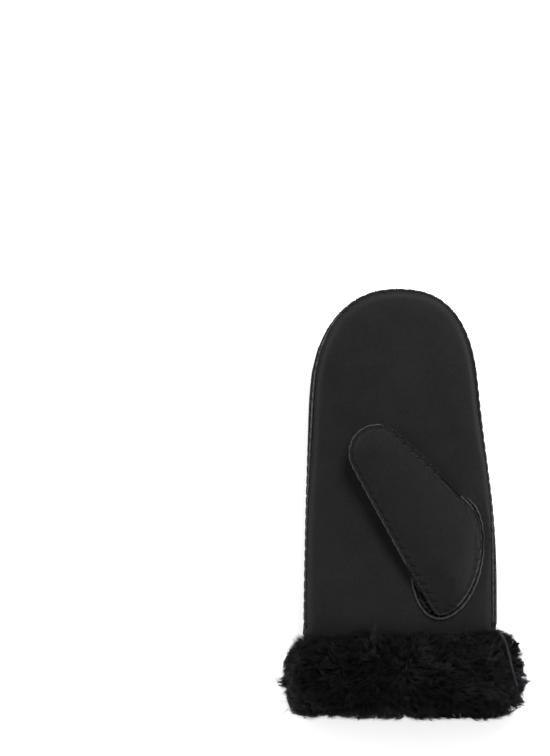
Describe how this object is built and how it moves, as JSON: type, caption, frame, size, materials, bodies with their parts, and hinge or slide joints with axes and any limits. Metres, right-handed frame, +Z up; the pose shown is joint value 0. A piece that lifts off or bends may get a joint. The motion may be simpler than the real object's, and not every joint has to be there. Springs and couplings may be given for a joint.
{
  "type": "shearling mitten",
  "caption": "Padded leather mitten for a right hand, lying palm up, with outseams, a thumb set into the palm and a turned-up fur cuff.",
  "frame": {"origin": "middle of the box's underside, on the surface that the mitten lies on", "axes": "+X towards the thumb's side, +Y from the opening to the fingertips, +Z up, out of the palm"},
  "size_m": [0.1504, 0.2574, 0.0608],
  "materials": {
    "suede": "black suede, napped and matte",
    "fur": "black sheepskin fur, dense and slightly curled"
  },
  "bodies": {
    "root": {"palm_panel": "suede", "back_panel": "suede", "thumb_front": "suede", "thumb_back": "suede", "cuff_front": "fur", "cuff_back": "fur"}
  },
  "joints": []
}
